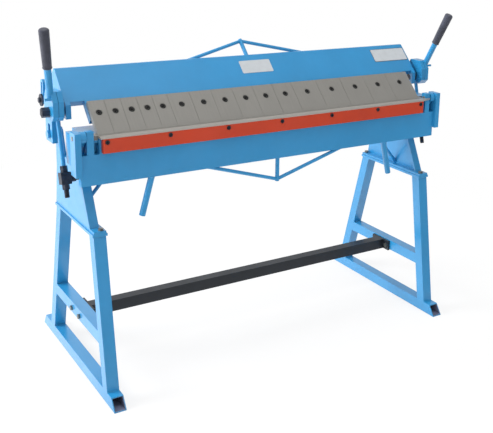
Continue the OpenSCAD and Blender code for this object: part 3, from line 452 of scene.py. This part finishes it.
for side_name, sign in SIDES:
    place = (Matrix.Translation((sign * HUB_X, *SHAFT)) @ Matrix.Rotation(LEANS[side_name], 4, "X")
             @ Matrix.Rotation(sign * SPLAY, 4, "Y") @ Matrix.Translation((0, 0, GRIP_FROM)))
    bm = bmesh.new()
    lathe(bm, grip_profile(), place)
    grip = finish_mesh(side_name + "_moulded_grip", bm, mats["grip_rubber"],
                       side_name + "_lever_arm")
    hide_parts(side_name + "_grip")
    top = Vector((sign * LINK_X, *STRAP))
    pivot = Vector((sign * LINK_X, *TRUNNION))
    down = (pivot - top).normalized()
    bm = bmesh.new()
    threaded(bm, THREAD_MINOR, THREAD_MAJOR, THREAD_TO - THREAD_FROM, THREAD_PITCH,
             along(pivot + down * THREAD_FROM, pivot + down * THREAD_TO))
    finish_mesh(side_name + "_link_thread", bm, mats["black_steel"], side_name + "_link")


# Weld beads: each is a row of ripples along a line or round a bar

BEAD_R = 0.0024
# Length of a ripple, its points, and its least and added share of the radius
RIPPLE = 0.0042
RIPPLE_POINTS = 6
RIPPLE_LEAST = 0.80
RIPPLE_RISE = 0.20
# A bead's end as a share of its radius, and how far it stays inside the tube's sides
BEAD_END = 0.3
BEAD_INSET = 0.001
# Width of the stand's tube, X of its two sides, and heights of the leg's top and the mid rail's top
TUBE = 0.038
RAIL_IN = 0.606
RAIL_OUT = 0.644
LEG_TOP = 0.511
MID_RAIL_TOP = 0.214
# Y of each leg's middle at its foot and at its top
FRONT_LEG = (-0.268, -0.197)
REAR_LEG = (0.239, 0.109)
# Handle bars and truss post under the apron
HANDLE_X = 0.448
HANDLE_R = 0.010
POST_R = 0.007
APRON_Y = -0.1915
APRON_LOW = 0.665


def ripple(distance):
    """Radius of a bead at a distance along it."""
    return BEAD_R * (RIPPLE_LEAST + RIPPLE_RISE * abs(math.sin(math.pi * distance / RIPPLE)))


def bead(bm, start, end):
    length = (end - start).length
    count = max(RIPPLE_POINTS, int(length / RIPPLE * RIPPLE_POINTS))
    profile = [(BEAD_R * BEAD_END, 0.0)]
    for k in range(1, count):
        z = length * k / count
        profile.append((ripple(z), z))
    profile.append((BEAD_R * BEAD_END, length))
    lathe(bm, profile, along(start, end), steps=10)


def ring_bead(bm, centre, radius, steps=48, sides=8):
    """A closed bead round an upright bar."""
    rings = []
    for a in circle(steps):
        r = ripple(radius * a)
        ring = []
        for b in circle(sides):
            out = radius + r * math.cos(b)
            place = Vector((out * math.cos(a), out * math.sin(a), r * math.sin(b)))
            ring.append(bm.verts.new(centre + place))
        rings.append(ring)
    skin(bm, rings, closed=True)


def leg_faces(leg, z):
    """Y of a leg's front and rear face at a height."""
    low, high = leg
    middle = low + (high - low) * (z - TUBE) / (LEG_TOP - TUBE)
    half = TUBE / 2 / math.cos(math.atan2(high - low, LEG_TOP - TUBE))
    return middle - half, middle + half


# Y and Z of the seams: both legs' feet and tops, and the mid rail's ends between the legs
seams = [(y, z) for leg in (FRONT_LEG, REAR_LEG) for z in (TUBE, LEG_TOP) for y in leg_faces(leg, z)]
for z in (MID_RAIL_TOP - TUBE, MID_RAIL_TOP):
    seams += [(leg_faces(FRONT_LEG, z)[1], z), (leg_faces(REAR_LEG, z)[0], z)]
for side_name, sign in SIDES:
    bm = bmesh.new()
    for y, z in seams:
        inner = Vector((sign * (RAIL_IN + BEAD_INSET), y, z))
        outer = Vector((sign * (RAIL_OUT - BEAD_INSET), y, z))
        bead(bm, inner, outer)
    finish_mesh(side_name + "_stand_welds", bm, mats["blue_paint"], "stand")
bm = bmesh.new()
for x, radius in ((-HANDLE_X, HANDLE_R), (HANDLE_X, HANDLE_R), (0, POST_R)):
    ring_bead(bm, Vector((x, APRON_Y, APRON_LOW)), radius)
finish_mesh("apron_welds", bm, mats["blue_paint"], "apron")


# Bare label plates on the beam's face

# The finger slope: u goes up along it from the noses, v square out of the fingers' front
NOSE_Y = -0.186
NOSE_Z = 0.8103
SLOPE = math.radians(45)
ALONG_X = Vector((1, 0, 0))
UP_SLOPE = Vector((0, math.cos(SLOPE), math.sin(SLOPE)))
# The beam's face lies behind the fingers' front
BEAM_FACE_V = -0.0148
# The corners of a plate, with the angle at which each starts, and their steps
CORNERS = ((1, 1, 0), (-1, 1, 90), (-1, -1, 180), (1, -1, 270))
CORNER_STEPS = 6
# Share of a plate's thickness that its rim is bevelled by
RIM_BEVEL = 0.4


def slope(x, u, v):
    return Vector((x, NOSE_Y + u * math.cos(SLOPE) - v * math.sin(SLOPE),
                   NOSE_Z + u * math.sin(SLOPE) + v * math.cos(SLOPE)))


def bare_plate(name, x, u, width, height, thick, radius, mat):
    """Thin plate on the beam with round corners and a bevelled rim, x and u at its middle."""
    centre = slope(x, u, BEAM_FACE_V)
    out = ALONG_X.cross(UP_SLOPE)
    bm = bmesh.new()

    def outline(inset, lift):
        verts = []
        for cx, cy, start in CORNERS:
            for k in range(CORNER_STEPS + 1):
                a = math.radians(start + 90 * k / CORNER_STEPS)
                px = cx * (width / 2 - radius) + (radius - inset) * math.cos(a)
                py = cy * (height / 2 - radius) + (radius - inset) * math.sin(a)
                verts.append(bm.verts.new(centre + ALONG_X * px + UP_SLOPE * py + out * lift))
        return verts

    skin(bm, [outline(0, 0), outline(0, thick * (1 - RIM_BEVEL)), outline(thick * RIM_BEVEL, thick)])
    return finish_mesh(name, bm, mat, "beam", smooth=False)


bare_plate("bare_plate_middle", x=0.0085, u=0.2065, width=0.119, height=0.051, thick=0.0008,
           radius=0.004, mat=plate_pale)
bare_plate("bare_plate_right", x=0.588, u=0.211, width=0.153, height=0.053, thick=0.0010,
           radius=0.004, mat=plate_pale)
bare_plate("bare_plate_right_edge", x=0.588, u=0.211, width=0.157, height=0.057, thick=0.0006,
           radius=0.005, mat=plate_rim)


# Camera at the photograph's place, solved from it in pixels of its frame

IMAGE_W = 493
IMAGE_H = 433
FOCAL_PX = 845.555
CENTRE_PX = (308.75, 134.78)
CAMERA_AT = (-1.4270, -2.4957, 1.4244)
YAW = math.radians(33.925)
PITCH = math.radians(14.077)
ROLL = math.radians(1.613)
SENSOR_MM = 36
FAR_CLIP = 100

forward = Vector((math.sin(YAW) * math.cos(PITCH), math.cos(YAW) * math.cos(PITCH), -math.sin(PITCH)))
level = Vector((math.cos(YAW), -math.sin(YAW), 0))
upright = level.cross(forward)
right_axis = math.cos(ROLL) * level + math.sin(ROLL) * upright
up_axis = -math.sin(ROLL) * level + math.cos(ROLL) * upright
cam = bpy.data.cameras.new("camera")
cam.sensor_width = SENSOR_MM
cam.lens = FOCAL_PX * SENSOR_MM / IMAGE_W
cam.shift_x = (IMAGE_W / 2 - CENTRE_PX[0]) / IMAGE_W
cam.shift_y = (CENTRE_PX[1] - IMAGE_H / 2) / IMAGE_W
cam.clip_end = FAR_CLIP
cam_obj = bpy.data.objects.new("camera", cam)
turned = Matrix([[right_axis[i], up_axis[i], -forward[i]] for i in range(3)])
cam_obj.matrix_world = Matrix.Translation(CAMERA_AT) @ turned.to_4x4()
scene.collection.objects.link(cam_obj)
scene.camera = cam_obj


# Lamps, world and floor

def area(name, at, target, size, power):
    """A square lamp that lights the object but isn't seen in its reflections."""
    light = bpy.data.lights.new(name, "AREA")
    light.size = size
    light.energy = power
    obj = bpy.data.objects.new(name, light)
    obj.location = at
    obj.rotation_euler = (Vector(target) - Vector(at)).to_track_quat("-Z", "Y").to_euler()
    obj.visible_glossy = False
    scene.collection.objects.link(obj)


area("key", at=(-4.0, 2.0, 3.0), target=(0, 0, 0.6), size=2.6, power=260)
area("side", at=(-7.0, 0.3, 1.0), target=(0, 0, 0.4), size=3.0, power=240)
area("overhead", at=(0.0, -0.6, 4.4), target=(0, 0, 0.6), size=2.8, power=70)
area("fill", at=(0.8, -4.6, 2.0), target=(0, 0, 0.6), size=3.2, power=30)

AMBIENT = 0.62
# White to the camera. Reflections see it dimmer above, in front and to the right.
world = bpy.data.worlds.new("studio")
scene.world = world
n = Nodes(world)
n.tree.nodes.clear()
ray = n.add("LightPath", {}).outputs
aim = n.add("TexCoord", {}).outputs["Generated"]
x, y, z = n.add("SeparateXYZ", {0: aim}).outputs
above = n.span(z, start=0.35, end=0.85, low=1.0, high=0.42)
front = n.span(y, start=-0.7, end=0.2, low=0.1, high=1.0)
right = n.span(x, start=0.2, end=0.65, low=1.0, high=0.55)
reflected = n.lit("Background", n.calc("MULTIPLY", n.calc("MULTIPLY", above, front), right))
mirrored = n.calc("MAXIMUM", ray["Is Glossy Ray"], ray["Is Transmission Ray"])
indirect = n.choose(mirrored, n.lit("Background", AMBIENT), reflected)
seen = n.choose(ray["Is Camera Ray"], indirect, n.lit("Background", 1.0))
n.add("OutputWorld", {"Surface": seen})

# The floor lies just under the feet and reaches this far each way
FLOOR_Z = -0.0005
FLOOR_REACH = 9
FLOOR_GREY = 0.86
bm = bmesh.new()
bm.faces.new([bm.verts.new((FLOOR_REACH * x, FLOOR_REACH * y, FLOOR_Z))
              for x, y in ((-1, -1), (1, -1), (1, 1), (-1, 1))])
mesh = bpy.data.meshes.new("floor")
bm.to_mesh(mesh)
bm.free()
floor = bpy.data.objects.new("floor", mesh)
scene.collection.objects.link(floor)

# To the camera it is partly white near the object, where it keeps the shadow, and all white far off.
# Reflections see it dim in front of the object and white behind it.
n = Nodes(bpy.data.materials.new("floor"))
n.tree.nodes.clear()
ray = n.add("LightPath", {}).outputs
spot = n.add("TexCoord", {}).outputs["Object"]
x, y, z = n.add("SeparateXYZ", {0: spot}).outputs
distance = n.add("VectorMath", {0: spot}, operation="LENGTH").outputs["Value"]
share = n.span(distance, start=0.6, end=2.4, low=0.78, high=1.0)
whiteness = n.calc("MULTIPLY", ray["Is Camera Ray"], share)
shadowed = n.add("BsdfDiffuse", {"Color": rgba(FLOOR_GREY)}).outputs[0]
plain = n.choose(whiteness, shadowed, n.lit("Emission", 1.0))
gleam = n.lit("Emission", n.span(y, start=-0.75, end=-0.1, low=0.08, high=1.0))
n.add("OutputMaterial", {"Surface": n.choose(ray["Is Glossy Ray"], plain, gleam)})
floor.data.materials.append(n.owner)
